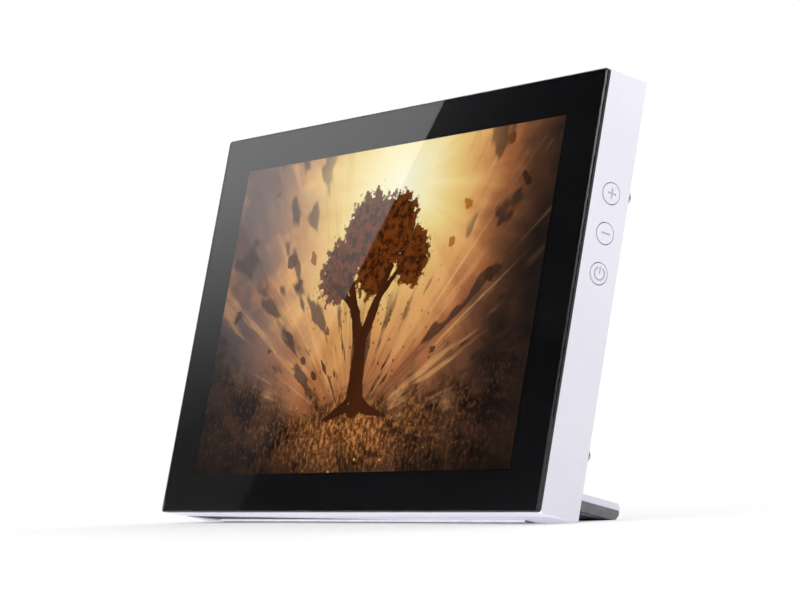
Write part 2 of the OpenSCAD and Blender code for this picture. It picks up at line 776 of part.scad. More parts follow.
module stand_leaf() color(white) leaned() difference() {
    along(-leaf_half_w, leaf_half_w) leaf_profile(0.4);
    leaf_notches();
    // Pin bores, open at the ends of the leaf
    bore_in = hinge_x - pin_half_len;
    for (left = [-leaf_half_w - over, bore_in])
        axle(hinge_in, hinge_up, left, left + leaf_half_w + over - bore_in, pin_r + 0.01);
    for (left = [-leaf_half_w - over, leaf_half_w - pad_t])
        along(left, left + pad_t + over) pad_zone(hinge_in + pad_start);
    along(-leaf_half_w - over, leaf_half_w + over) pad_zone(hinge_in + leaf_reach - pad_tip);
}

module stand_pad() color([0.39, 0.39, 0.4]) leaned() intersection() {
    along(-leaf_half_w, leaf_half_w) leaf_profile(0);
    union() {
        for (left = [-leaf_half_w, leaf_half_w - pad_t + pad_fit])
            along(left, left + pad_t - pad_fit) intersection() {
                pad_zone(hinge_in + pad_start + pad_fit);
                translate([0, -pad_fit]) pad_zone(hinge_in);
            }
        along(-leaf_half_w, leaf_half_w) intersection() {
            pad_zone(hinge_in + leaf_reach - pad_tip + pad_fit);
            translate([0, -pad_fit]) pad_zone(hinge_in);
        }
    }
}

module hinge_brackets() color(steel) leaned() for (x = [-hinge_x, hinge_x]) difference() {
    union() {
        left = x - bracket_w / 2;
        right = x + bracket_w / 2;
        axle(hinge_in, hinge_up, left, right, knuckle_r);
        block(left, right, pocket_floor, hinge_in, hinge_up - arm_half_t, hinge_up + arm_half_t);
        block(left, right, pocket_floor, pocket_floor + foot_plate_t, hinge_up - arm_half_t, foot_plate_top);
    }
    axle(hinge_in, hinge_up, x - bracket_w, x + bracket_w, pin_r + pin_gap);
    peg(x, hinge_screw_up, pocket_floor - over, pocket_floor + foot_plate_t + over, hinge_screw_r + 0.15);
}

module hinge_pins() color(steel) leaned() for (side = [-1, 1])
    axle(hinge_in, hinge_up, side * hinge_x - pin_half_len + 0.2, side * hinge_x + pin_half_len - 0.2, pin_r);

module hinge_screws() color(steel) leaned()
    for (p = hinge_screw_points) screw(p[0], p[1], pocket_floor + foot_plate_t, hinge_screw_r, 3.2, 2.1, 1.3);

module foot_strip() color([0.8, 0.8, 0.82]) leaned() along(-foot_half_w, foot_half_w)
    polygon([[foot_front, foot_groove], [foot_front, -foot_proud], [foot_in, -foot_proud],
        [foot_back, table_up(foot_back)], [foot_back, foot_groove]]);

cover_glass();
border_mask();
glass_gasket();
lcd_cell();
diffuser_sheet();
light_guide();
reflector_sheet();
led_strip();
backlight_tray();
chassis_plate();
chassis_screws();
main_housing();
rear_cover();
cover_screws();
vesa_inserts();
mainboard();
main_chip();
board_components();
board_screws();
display_flex();
power_inlet();
usb_port();
card_slot();
speakers();
speaker_leads();
button_board();
button_switches();
button_cable();
plus_button();
minus_button();
power_button();
plus_switch_stem();
minus_switch_stem();
power_switch_stem();
stand_leaf();
stand_pad();
hinge_brackets();
hinge_pins();
hinge_screws();
foot_strip();
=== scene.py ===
"""The looks of a digital photo frame: glass front, white tub housing, lit picture and folding stand.

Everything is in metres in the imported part's own frame. Many shapes are first drawn upright in
the panel's own directions, x to the right, y back from the front of the glass and z up from its
bottom edge, and then lean back with the panel. Small sizes are written as millimetres times MM.
"""

import json
import math

import bmesh
import bpy
from mathutils import Matrix, Vector


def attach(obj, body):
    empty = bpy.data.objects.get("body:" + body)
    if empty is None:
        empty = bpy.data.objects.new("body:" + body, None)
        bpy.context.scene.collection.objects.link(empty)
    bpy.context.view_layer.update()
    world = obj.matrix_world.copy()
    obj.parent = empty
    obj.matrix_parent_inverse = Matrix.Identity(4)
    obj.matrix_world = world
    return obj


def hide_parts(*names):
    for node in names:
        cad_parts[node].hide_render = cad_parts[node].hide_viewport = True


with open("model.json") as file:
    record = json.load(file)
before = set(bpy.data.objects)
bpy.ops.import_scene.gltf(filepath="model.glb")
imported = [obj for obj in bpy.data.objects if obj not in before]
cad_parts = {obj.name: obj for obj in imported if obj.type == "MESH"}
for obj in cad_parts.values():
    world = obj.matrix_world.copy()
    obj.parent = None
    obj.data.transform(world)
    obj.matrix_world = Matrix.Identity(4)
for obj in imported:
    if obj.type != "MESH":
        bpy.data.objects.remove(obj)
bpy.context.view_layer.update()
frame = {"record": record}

MM = 0.001

# The panel's directions and its bottom front edge, from the wall mount in the middle of its back
PANEL_DEPTH = 19.9 * MM
MOUNT_UP = 96 * MM
MOUNT = next(m for m in frame["record"]["mounts"] if m["name"] == "wall_mount")
BACK = Vector(MOUNT["axis"]).normalized()
RIGHT = Vector((1, 0, 0))
UP = RIGHT.cross(BACK)
LEAN = math.atan2(-BACK.z, BACK.y)
CORNER = Vector(MOUNT["pos_m"]) - BACK * PANEL_DEPTH - UP * MOUNT_UP
PANEL = Matrix.Translation(CORNER) @ Matrix((RIGHT, BACK, UP)).transposed().to_4x4()
UPRIGHT = PANEL.inverted()

# The picture on the display
PICTURE_H = 135.6 * MM
PICTURE_LOW = 16 * MM


def upright_box(node):
    """Lowest and highest corner of a CAD node in the panel's own directions."""
    corners = [UPRIGHT @ v.co for v in bpy.data.objects[node].data.vertices]
    low = Vector(min(c[i] for c in corners) for i in range(3))
    high = Vector(max(c[i] for c in corners) for i in range(3))
    return low, high


# ---- shader helpers ----


class Value:
    """A socket in a shader; sums with it add Math nodes."""

    def __init__(self, finish, socket):
        self.finish = finish
        self.socket = socket

    def __add__(self, other):
        return self.finish.maths("ADD", self, other)

    __radd__ = __add__

    def __sub__(self, other):
        return self.finish.maths("SUBTRACT", self, other)

    def __rsub__(self, other):
        return self.finish.maths("SUBTRACT", other, self)

    def __mul__(self, other):
        return self.finish.maths("MULTIPLY", self, other)

    __rmul__ = __mul__

    def __truediv__(self, other):
        return self.finish.maths("DIVIDE", self, other)

    def __pow__(self, other):
        return self.finish.maths("POWER", self, other)

    def __rpow__(self, other):
        return self.finish.maths("POWER", other, self)

    def __abs__(self):
        return self.finish.maths("ABSOLUTE", self)


class Finish:
    """One material and its nodes."""

    def __init__(self, name, **constants):
        self.material = bpy.data.materials.new(name)
        self.material.use_nodes = True
        self.tree = self.material.node_tree
        self.surface = self.tree.nodes["Principled BSDF"]
        for socket, amount in constants.items():
            self.set(socket.replace("_", " "), amount)

    def node(self, kind, settings, inputs):
        """Add a node: its settings first, then what its sockets hold."""
        made = self.tree.nodes.new("ShaderNode" + kind)
        for name, setting in settings.items():
            if name == "stops":
                self.set_stops(made.color_ramp, setting)
            else:
                setattr(made, name, setting)
        for socket, amount in inputs.items():
            self.feed(made.inputs[socket], amount)
        return made

    @staticmethod
    def set_stops(ramp, stops):
        while len(ramp.elements) < len(stops):
            ramp.elements.new(0.5)
        for element, (place, colour) in zip(ramp.elements, stops):
            element.position = place
            element.color = colour

    def feed(self, socket, amount):
        if isinstance(amount, Value):
            self.tree.links.new(amount.socket, socket)
        else:
            socket.default_value = amount

    def set(self, socket, amount):
        """Set or feed one of the surface's own sockets."""
        self.feed(self.surface.inputs[socket], amount)

    def maths(self, operation, *terms):
        made = self.node("Math", {"operation": operation}, dict(enumerate(terms)))
        return Value(self, made.outputs[0])

    def least(self, a, b):
        return self.maths("MINIMUM", a, b)

    def most(self, a, b):
        return self.maths("MAXIMUM", a, b)

    def vector(self, operation, *terms):
        made = self.node("VectorMath", {"operation": operation}, dict(enumerate(terms)))
        return Value(self, made.outputs["Vector"])

    def length(self, vector):
        made = self.node("VectorMath", {"operation": "LENGTH"}, {0: vector})
        return Value(self, made.outputs["Value"])

    def join(self, x, y, z):
        made = self.node("CombineXYZ", {}, {"X": x, "Y": y, "Z": z})
        return Value(self, made.outputs[0])

    def split(self, vector):
        made = self.node("SeparateXYZ", {}, {"Vector": vector})
        return [Value(self, made.outputs[axis]) for axis in "XYZ"]

    def place(self):
        """Where a point of the surface is, in millimetres in the panel's own directions."""
        here = Value(self, self.node("TexCoord", {}, {}).outputs["Object"])
        turned = self.node("Mapping", {"vector_type": "TEXTURE"}, {
            "Vector": here, "Location": CORNER, "Rotation": (-LEAN, 0, 0), "Scale": (MM, MM, MM)})
        return Value(self, turned.outputs[0])

    def noise(self, where, scale, detail=2.0, rough=0.5):
        made = self.node("TexNoise", {}, {
            "Vector": where, "Scale": scale, "Detail": detail, "Roughness": rough})
        return Value(self, made.outputs[0])

    def cells(self, where, scale, uneven=1.0, **settings):
        """Scattered cells: the distance to the nearest middle, and three draws for each cell."""
        made = self.node("TexVoronoi", settings, {
            "Vector": where, "Scale": scale, "Randomness": uneven})
        return Value(self, made.outputs["Distance"]), self.split(Value(self, made.outputs["Color"]))

    def smooth(self, value, start, stop):
        """0 before start, 1 after stop, with an eased step between; start may be the larger."""
        made = self.node("MapRange", {"interpolation_type": "SMOOTHSTEP"}, {
            "Value": value, "From Min": start, "From Max": stop})
        return Value(self, made.outputs["Result"])

    def mix(self, share, first, second):
        made = self.node("Mix", {"data_type": "RGBA"}, {0: share, 6: first, 7: second})
        return Value(self, made.outputs[2])

    def ramp(self, value, stops):
        made = self.node("ValToRGB", {"stops": stops}, {"Fac": value})
        return Value(self, made.outputs["Color"])

    def bump(self, height, depth, strength=1.0):
        """Raise the surface by up to depth metres."""
        made = self.node("Bump", {}, {"Strength": strength, "Distance": depth, "Height": height})
        self.set("Normal", Value(self, made.outputs[0]))


def colour(red, green, blue):
    """A colour as it is named on screen, from 0 to 255, made linear."""
    def linear(level):
        share = level / 255
        return share / 12.92 if share <= 0.04045 else ((share + 0.055) / 1.055) ** 2.4
    return (linear(red), linear(green), linear(blue), 1.0)


# ---- finishes ----

# Millimetres from the middle of a cap out to its bare rim, past the symbol
SYMBOL_REACH = 3.5
# How far behind the glass's front the components' soldered feet end, in millimetres
SOLDER_BACK = 9.2


def moulded_plastic(name, light, dark, roughness=0.4, grain=0.004):
    """Satin moulded plastic: a very fine grain, faint flow marks and slightly uneven gloss."""
    finish = Finish(name)
    where = finish.place()
    cloud = finish.noise(where, 0.03, 3)
    flow = finish.noise(where, 0.35, 4)
    grains = finish.noise(where, 5.0, 2)
    finish.set("Base Color", finish.mix(finish.smooth(cloud * 0.7 + flow * 0.3, 0.35, 0.65), dark, light))
    finish.set("Roughness", roughness - 0.06 + flow * 0.12)
    finish.bump(grains, grain * MM, 0.6)
    return finish


def symbol_plastic(name, light, dark, symbol):
    """The housing's plastic, with the symbol sunk in the cap's end, at height symbol, in pale grey."""
    finish = moulded_plastic(name, light, dark)
    where = finish.place()
    across, back, up = finish.split(where)
    plain = Value(finish, finish.surface.inputs["Base Color"].links[0].from_socket)
    sunk = finish.smooth(across, CAP_FACE - 0.08, CAP_FACE - 0.14)
    aside = finish.vector("SUBTRACT", finish.join(0.0, back, up), (0.0, CAP_BACK, symbol))
    inside = finish.smooth(finish.length(aside), SYMBOL_REACH, SYMBOL_REACH - 0.2)
    finish.set("Base Color", finish.mix(sunk * inside, plain, colour(178, 178, 184)))
    return finish


def soft_rubber(name, light, dark):
    """Matt rubber with a fine pebble and rubbed, paler patches."""
    finish = Finish(name)
    where = finish.place()
    rub = finish.noise(where, 0.25, 5, 0.6)
    pebble = finish.noise(where, 3.5, 3)
    finish.set("Base Color", finish.mix(finish.smooth(rub, 0.35, 0.7), dark, light))
    finish.set("Roughness", 0.62 + pebble * 0.2)
    finish.bump(pebble, 0.03 * MM, 0.5)
    return finish


def black_ink():
    """The printed border: deep black, with the faint unevenness of a screened ink."""
    finish = Finish("black_ink", Specular_IOR_Level=0.2)
    where = finish.place()
    coat = finish.noise(where, 0.08, 3)
    mesh = finish.noise(where, 6.0, 1)
    finish.set("Base Color", finish.mix(coat, colour(9, 9, 11), colour(13, 13, 16)))
    finish.set("Roughness", 0.12 + mesh * 0.06)
    finish.bump(mesh, 0.0004 * MM, 0.3)
    return finish


def matt_black(name):
    """Black moulded plastic or foam with a grey bloom."""
    finish = Finish(name)
    where = finish.place()
    bloom = finish.noise(where, 0.4, 5, 0.6)
    finish.set("Base Color", finish.mix(bloom, colour(22, 22, 24), colour(44, 44, 47)))
    finish.set("Roughness", 0.5 + bloom * 0.25)
    finish.bump(finish.noise(where, 4.0, 2), 0.01 * MM, 0.5)
    return finish


def clear_glass():
    """Polished glass; wiping has left the faintest haze."""
    finish = Finish("clear_glass", Transmission_Weight=1.0, IOR=1.5)
    where = finish.place()
    haze = finish.noise(where, 0.03, 4, 0.6)
    wipes = finish.noise(finish.vector("MULTIPLY", where, (0.05, 0.05, 0.9)), 1.0, 3)
    finish.set("Base Color", finish.mix(haze, (0.96, 0.975, 0.97, 1), (1.0, 1.0, 1.0, 1)))
    finish.set("Roughness", finish.smooth(haze * wipes, 0.3, 0.5) * 0.015)
    return finish


def clear_acrylic(name):
    """Clear sheet with rows of tiny printed dots that spread the light."""
    finish = Finish(name, Transmission_Weight=0.7, IOR=1.49)
    where = finish.place()
    across, _, up = finish.split(where)
    dots = finish.maths("SINE", across * 2.5) * finish.maths("SINE", up * 2.5)
    printed = finish.smooth(dots, 0.5, 0.7)
    finish.set("Base Color", finish.mix(printed, (0.86, 0.93, 0.96, 1), (0.95, 0.95, 0.95, 1)))
    finish.set("Roughness", 0.08 + printed * 0.5)
    return finish


def film(name, pale):
    """Plastic film: milky, with a fine satin texture."""
    finish = Finish(name)
    where = finish.place()
    cloud = finish.noise(where, 0.05, 3)
    satin = finish.noise(where, 7.0, 1)
    finish.set("Base Color", finish.mix(cloud, pale, (0.96, 0.96, 0.95, 1)))
    finish.set("Roughness", 0.35 + satin * 0.2)
    finish.bump(satin, 0.004 * MM, 0.5)
    return finish


def sheet_steel(name):
    """Zinc-coated sheet: overlapping spangles, each with its own grey and gloss."""
    finish = Finish(name, Metallic=1.0)
    where = finish.place()
    _, (shade, _, _) = finish.cells(where, 0.22)
    drawn = finish.noise(finish.vector("MULTIPLY", where, (0.15, 1.0, 3.0)), 1.0, 4)
    finish.set("Base Color", finish.mix(shade, (0.46, 0.47, 0.49, 1), (0.66, 0.67, 0.68, 1)))
    finish.set("Roughness", 0.28 + shade * 0.12 + drawn * 0.12)
    finish.bump(drawn, 0.01 * MM, 0.4)
    return finish


def screw_steel(name):
    """Plated fasteners: fine turning marks and duller recesses."""
    finish = Finish(name, Metallic=1.0)
    where = finish.place()
    turned = finish.noise(finish.vector("MULTIPLY", where, (1.0, 6.0, 1.0)), 2.0, 3)
    dull = finish.noise(where, 0.9, 4)
    finish.set("Base Color", finish.mix(dull, (0.3, 0.3, 0.32, 1), (0.5, 0.5, 0.51, 1)))
    finish.set("Roughness", 0.25 + turned * 0.2)
    finish.bump(turned, 0.01 * MM, 0.5)
    return finish


def brass(name):
    """Turned brass with a slight brown tarnish."""
    finish = Finish(name, Metallic=1.0)
    where = finish.place()
    tarnish = finish.noise(where, 0.7, 5)
    turned = finish.noise(finish.vector("MULTIPLY", where, (1.0, 8.0, 1.0)), 1.5, 2)
    finish.set("Base Color", finish.mix(
        finish.smooth(tarnish, 0.35, 0.7), (0.78, 0.58, 0.25, 1), (0.5, 0.34, 0.15, 1)))
    finish.set("Roughness", 0.22 + tarnish * 0.2)
    finish.bump(turned, 0.01 * MM, 0.5)
    return finish


def circuit_board(name):
    """Green solder mask over copper tracks that run in straight lanes, with small plated holes."""
    finish = Finish(name)
    where = finish.place()
    across, _, up = finish.split(where)
    lane = finish.noise(finish.join(across * 0.06, 0.0, up * 0.9), 1.0, 0)
    cross = finish.noise(finish.join(across * 0.9, 3.0, up * 0.06), 1.0, 0)
    tracks = finish.most(finish.smooth(lane, 0.55, 0.57), finish.smooth(cross, 0.6, 0.62))
    reach, _ = finish.cells(where, 0.35, 0.8)
    holes = finish.smooth(reach, 0.16, 0.12)
    mask = finish.mix(tracks, colour(22, 84, 52), colour(42, 118, 74))
    finish.set("Base Color", finish.mix(holes, mask, colour(190, 170, 110)))
    finish.set("Roughness", 0.3 + holes * 0.1)
    finish.set("Metallic", holes * 0.9)
    finish.bump(tracks + holes, 0.03 * MM, 0.6)
    return finish


def small_parts():
    """Components: black moulded bodies with bright soldered feet near the board."""
    finish = Finish("small_parts")
    where = finish.place()
    feet = finish.smooth(finish.split(where)[1], SOLDER_BACK, SOLDER_BACK - 0.2)
    body = finish.noise(where, 0.12, 1)
    shell = finish.mix(finish.smooth(body, 0.45, 0.55), colour(34, 34, 36), colour(70, 62, 52))
    finish.set("Base Color", finish.mix(feet, shell, colour(205, 205, 208)))
    finish.set("Metallic", feet * 0.9)
    finish.set("Roughness", 0.55 - feet * 0.2)
    finish.bump(finish.noise(where, 3.0, 3), 0.02 * MM, 0.5)
    return finish


def flat_cable(name, web, wire, along):
    """Flat cable: conductors seen through the film, side by side along panel direction 0, 1 or 2."""
    finish = Finish(name)
    where = finish.place()
    side = finish.split(where)[along]
    wires = finish.smooth(finish.maths("SINE", side * 2 * math.pi), -0.2, 0.3)
    finish.set("Base Color", finish.mix(wires, web, wire))
    finish.set("Roughness", 0.32 + wires * 0.15)
    finish.bump(wires, 0.05 * MM, 0.6)
    return finish


def wire_pair():
    """Two insulated wires side by side, one red and one black."""
    finish = Finish("wire_pair")
    where = finish.place()
    across, _, up = finish.split(where)
    stretch = finish.noise(where, 1.2, 3)
    red = finish.smooth(finish.maths("SINE", (across + up) * math.pi), -0.15, 0.15)
    finish.set("Base Color", finish.mix(red, colour(30, 30, 32), colour(160, 34, 30)))
    finish.set("Roughness", 0.4 + stretch * 0.15)
    finish.bump(red, 0.1 * MM, 0.5)
    return finish


def led_board():
    """White circuit strip with a yellow phosphor window in each lamp."""
    finish = Finish("led_board")
    lamp_foot = upright_box("led_strip")[0].z / MM + 0.7
    where = finish.place()
    lamp = finish.smooth(finish.split(where)[2], lamp_foot, lamp_foot + 0.2)
    speck = finish.noise(where, 2.0, 3)
    finish.set("Base Color", finish.mix(
        lamp, finish.mix(speck, colour(222, 222, 216), colour(240, 240, 236)), colour(236, 206, 92)))
    finish.set("Roughness", 0.35 + speck * 0.2)
    finish.bump(speck, 0.02 * MM, 0.5)
    return finish


def woven_cloth(name, dark, light):
    """Fine woven cloth or gauze, the threads crossing square to each other."""
    finish = Finish(name)
    where = finish.place()
    across, _, up = finish.split(where)
    warp = finish.maths("SINE", across * 9)
    weft = finish.maths("SINE", up * 9)
    threads = finish.most(warp, weft)
    fluff = finish.noise(where, 1.5, 4)
    finish.set("Base Color", finish.mix(finish.smooth(threads * 0.7 + fluff * 0.6, 0.0, 1.1), dark, light))
    finish.set("Roughness", 0.75 + fluff * 0.15)
    finish.bump(threads, 0.08 * MM, 0.8)
    return finish


def gold_contacts(name):
    """Gold plating, worn paler where plugs slide."""
    finish = Finish(name, Metallic=1.0)
    where = finish.place()
    worn = finish.noise(where, 2.5, 4)
    finish.set("Base Color", finish.mix(worn, (0.83, 0.62, 0.26, 1), (0.95, 0.78, 0.42, 1)))
    finish.set("Roughness", 0.18 + worn * 0.2)
    finish.bump(worn, 0.005 * MM, 0.4)
    return finish


# ---- the lit picture: an invented landscape, a tree on a rise before a low sun ----

# Places are in picture heights: across from the middle, up from the lower edge
SUN = (0.07, 0.88)
SUN_COLOURS = [
    (0.0, colour(255, 251, 224)), (0.15, colour(252, 238, 182)), (0.27, colour(240, 208, 132)),
    (0.41, colour(222, 163, 99)), (0.57, colour(180, 113, 69)), (0.76, colour(112, 72, 49)),
    (1.0, colour(46, 35, 30))]
# Where the wind bursts up from the ground
GUST = (0.0, 0.12)
# Boughs of the tree: start, end, and the half widths there
BOUGHS = [
    ((0.01, 0.20), (-0.01, 0.40), 0.040, 0.029), ((-0.01, 0.38), (-0.12, 0.60), 0.026, 0.013),
    ((-0.01, 0.38), (0.08, 0.62), 0.025, 0.013), ((0.04, 0.52), (0.16, 0.64), 0.014, 0.006),
    ((-0.07, 0.50), (-0.20, 0.58), 0.013, 0.006), ((0.00, 0.21), (-0.13, 0.16), 0.028, 0.006),
    ((0.01, 0.21), (0.15, 0.17), 0.028, 0.006)]
# Clumps of leaves: middle across, middle up, and radius
CLUMPS = [(-0.18, 0.62, 0.10), (-0.06, 0.74, 0.125), (0.07, 0.74, 0.11), (0.18, 0.64, 0.085),
          (0.0, 0.62, 0.09)]


def bough(finish, across, up, start, end, thick, thin):
    """How far a point is from a tapering bough: below 1 is inside it."""
    run = (end[0] - start[0], end[1] - start[1])
    length2 = run[0] ** 2 + run[1] ** 2
    aside, above = across - start[0], up - start[1]
    share = (aside * run[0] + above * run[1]) / length2
    share = finish.least(finish.most(share, 0.0), 1.0)
    off_across = aside - share * run[0]
    off_up = above - share * run[1]
    away = (off_across * off_across + off_up * off_up) ** 0.5
    return away / (thick + share * (thin - thick))


def hump(offset, steepness):
    """1 where offset is nothing, falling away on both sides."""
    return math.e ** (offset * offset * -steepness)


def spray(finish, flat, centre):
    """How far a point is from a centre, and places for patterns that fan out from there."""
    away = finish.vector("SUBTRACT", flat, (*centre, 0.0))
    heading = finish.vector("NORMALIZE", away)
    far = finish.length(away)

    def fan(spread, run):
        """A place that changes quickly round the centre and slowly away from it."""
        around = finish.vector("MULTIPLY", heading, (spread, spread, 0.0))
        return finish.vector("ADD", around, finish.join(0.0, 0.0, far * run))

    return far, fan


def lit_picture():
    finish = Finish("lit_picture", Base_Color=(0.001, 0.001, 0.001, 1), Roughness=0.5,
                    Specular_IOR_Level=0.0, Emission_Strength=1.06)
    where = finish.place()
    x_mm, _, up_mm = finish.split(where)
    across = x_mm * (MM / PICTURE_H)
    up = (up_mm - PICTURE_LOW / MM) * (MM / PICTURE_H)
    flat = finish.join(across, up, 0.0)

    # Sunlight fans out from the sun, in rays of uneven length
    far, sunward = spray(finish, flat, SUN)
    rays = finish.noise(sunward(5.0, 1.0), 1.0, 3)
    paint = finish.noise(sunward(2.2, 2.6), 1.6, 4, 0.55)
    glow = far * (0.94 + across * 0.42) * (0.55 + rays * 0.55 + paint * 0.35)
    sky = finish.ramp(glow, SUN_COLOURS)

    # Everything the gust throws up fans out from the ground
    climb, flung = spray(finish, flat, GUST)

    # Dusty blue-grey air on the left
    air = finish.smooth(across, -0.2, -0.72) * finish.smooth(paint, 0.3, 0.55) * 0.85
    sky = finish.mix(air, sky, colour(84, 78, 84))
    # Broad brush strokes of lighter and darker dust
    strokes = finish.noise(flung(6.0, 1.1), 1.5, 4, 0.6)
    away = finish.smooth(far, 0.22, 0.5)
    sky = finish.mix(finish.smooth(strokes, 0.54, 0.66) * away * 0.5, sky, colour(236, 176, 112))
    sky = finish.mix(finish.smooth(strokes, 0.46, 0.34) * away * 0.55, sky, colour(104, 66, 46))
    # Long dark blurs: bark and leaves out of focus
    smoke = finish.noise(flung(5.2, 3.4), 1.7, 2)
    thick = finish.smooth(smoke, 0.565, 0.64) * finish.smooth(far, 0.26, 0.5) * 0.82
    sky = finish.mix(thick, sky, colour(62, 44, 36))
    # Thin bright trails
    streak = finish.smooth(finish.noise(flung(22.0, 0.9), 1.3, 1), 0.66, 0.76) * away
    sky = finish.mix(streak * 0.28, sky, colour(255, 206, 146))

    # Torn leaves, sharp and dark
    reach, (pick, size, _) = finish.cells(flung(6.0, 7.0), 1.25, distance="MANHATTAN")
    edge = reach + finish.noise(flat, 24.0, 2) * 0.3
    leaf = finish.smooth(edge, 0.34 + size * 0.26, 0.32 + size * 0.26)
    leaves = leaf * finish.smooth(pick, 0.42, 0.4) * finish.smooth(far, 0.2, 0.3)
    sky = finish.mix(leaves * 0.9, sky, finish.mix(
        finish.smooth(far, 0.3, 0.6), colour(176, 106, 34), colour(72, 42, 24)))
    # Fine grit in the air
    reach, (kept, _, _) = finish.cells(flat, 52.0)
    speck = finish.smooth(reach, 0.26, 0.2)
    near_ground = finish.smooth(climb, 0.8, 0.25)
    specks = speck * finish.smooth(kept, 0.34, 0.3) * near_ground
    sky = finish.mix(specks * 0.8, sky, colour(70, 38, 18))

    # The rise: broken ground with dry growth, lit in the middle
    rough = finish.noise(flat, 9.0, 6, 0.62)
    crest = 0.1 + finish.noise(finish.join(across, 0.0, 0.0), 5.0, 5, 0.6) * 0.16
    mound = hump(across, 14.0) * 0.05
    sides = across * across * 0.34
    below = finish.smooth(up - crest - mound - sides + (rough - 0.5) * 0.34, 0.05, -0.07)
    tufts = finish.noise(finish.vector("MULTIPLY", flat, (70.0, 46.0, 1.0)), 1.0, 5, 0.75)
    clods = finish.noise(flat, 7.0, 4, 0.6)
    shade = finish.mix(finish.smooth(clods, 0.4, 0.62), colour(22, 16, 13), colour(72, 47, 33))
    dry = finish.mix(finish.smooth(tufts, 0.5, 0.64) * 0.6, shade, colour(132, 84, 50))
    lit = hump(across - 0.02, 12.0) * finish.smooth(up, -0.04, 0.12)
    gold = finish.mix(finish.smooth(tufts, 0.44, 0.62), colour(98, 54, 26), colour(226, 148, 80))
    earth = finish.mix(lit * finish.smooth(clods, 0.3, 0.55) * 0.85, dry, gold)
    view = finish.mix(below, sky, earth)

    # The tree, dark against the sun, with light coming through its leaves
    wobble = finish.noise(flat, 16.0, 3)
    bent_across = across + (wobble - 0.5) * 0.03
    bent_up = up + (finish.noise(flat, 13.0, 3) - 0.5) * 0.03
    wood = None
    for start, end, thick_end, thin_end in BOUGHS:
        limb = bough(finish, bent_across, bent_up, start, end, thick_end, thin_end)
        wood = limb if wood is None else finish.least(wood, limb)
    foliage = finish.noise(flat, 34.0, 4, 0.7)
    crown = None
    for place, height, radius in CLUMPS:
        aside, above = bent_across - place, bent_up - height
        clump = (aside * aside + above * above) ** 0.5 / radius
        crown = clump if crown is None else finish.least(crown, clump)
    in_crown = finish.smooth(crown + (foliage - 0.5) * 1.5, 1.04, 0.96)
    in_wood = finish.smooth(wood, 1.08, 0.94)
    leaf_colour = finish.mix(finish.smooth(foliage, 0.42, 0.6), colour(112, 56, 18), colour(54, 25, 10))
    view = finish.mix(in_crown, view, leaf_colour)
    view = finish.mix(in_wood, view, finish.mix(rays, colour(40, 20, 10), colour(84, 42, 18)))

    # Sparks low down, and the darker corners
    reach, (_, chosen, _) = finish.cells(flat, 30.0)
    spark = finish.smooth(reach, 0.16, 0.04)
    sparks = spark * finish.smooth(chosen, 0.22, 0.18) * finish.smooth(up, 0.34, 0.2) * finish.smooth(
        abs(across), 0.5, 0.2)
    view = finish.mix(sparks, view, colour(255, 206, 96))
    right_shade = finish.smooth(across + (paint - 0.5) * 0.35, 0.42, 0.78) * finish.smooth(
        abs(up - 0.45), 0.8, 0.2)
    left_shade = finish.smooth(across + up * 0.3 + (strokes - 0.5) * 0.5, -0.3, -0.72) * 0.75
    view = finish.mix(finish.most(right_shade, left_shade) * 0.85, view, colour(26, 20, 18))
    foot_shade = finish.smooth(up, 0.16, -0.04) * finish.smooth(abs(across), 0.1, 0.5) * 0.8
    view = finish.mix(foot_shade, view, colour(18, 13, 11))
    finish.set("Emission Color", view)
    return finish


# ---- modelling helpers ----


def only(piece):
    """Make piece the one selected and active object."""
    bpy.ops.object.select_all(action="DESELECT")
    piece.select_set(True)
    bpy.context.view_layer.objects.active = piece


def work(piece, kind, wanted, step, **amounts):
    """One edit-mode step on the vertices, edges or faces that wanted picks."""
    only(piece)
    bpy.ops.object.mode_set(mode="EDIT")
    bpy.ops.mesh.select_mode(type=kind)
    bpy.ops.mesh.select_all(action="DESELECT")
    shape = bmesh.from_edit_mesh(piece.data)
    for part in {"VERT": shape.verts, "EDGE": shape.edges, "FACE": shape.faces}[kind]:
        if wanted(part):
            part.select_set(True)
    shape.select_flush_mode()
    bmesh.update_edit_mesh(piece.data)
    step(**amounts)
    bpy.ops.object.mode_set(mode="OBJECT")


def everything(part):
    return True


def near(a, b, slack=0.01 * MM):
    return abs(a - b) < slack


def crease(edge):
    """Whether two faces meet at this edge in a corner that points outwards."""
    return (len(edge.link_faces) == 2 and edge.is_convex
            and edge.calc_face_angle(0) > math.radians(35))


def runs_back(edge):
    """Whether an edge of an upright piece runs from its front to its back."""
    return not near(edge.verts[0].co.y, edge.verts[1].co.y)


def finish_mesh(piece, angle=35):
    """Point the faces outwards and smooth the shading over bends below angle."""
    work(piece, "FACE", everything, bpy.ops.mesh.normals_make_consistent, inside=False)
    only(piece)
    bpy.ops.object.shade_smooth_by_angle(angle=math.radians(angle))


def repeat(piece, count, step):
    """A row of count copies of a piece's shape, each one step on."""
    row = piece.modifiers.new("row", "ARRAY")
    row.count = count
    row.use_relative_offset = False
    row.use_constant_offset = True
    row.constant_offset_displace = step
    only(piece)
    bpy.ops.object.modifier_apply(modifier=row.name)


def lean(piece):
    """Turn a piece drawn upright back with the panel, and put its place in its mesh."""
    piece.matrix_world = PANEL @ piece.matrix_world
    only(piece)
    bpy.ops.object.transform_apply(location=True, rotation=True, scale=True)


def brick(name, low, high):
    """A block between two corners, in upright panel directions, ready to be shaped."""
    bpy.ops.object.select_all(action="DESELECT")
    middle = (Vector(low) + Vector(high)) / 2
    size = Vector(high) - Vector(low)
    bpy.ops.mesh.primitive_cube_add(size=1, location=middle, scale=size)
    piece = bpy.context.active_object
    piece.name = name
    bpy.ops.object.transform_apply(location=True, rotation=True, scale=True)
    return piece


def dress(piece, finish):
    piece.data.materials.clear()
    piece.data.materials.append(finish.material)


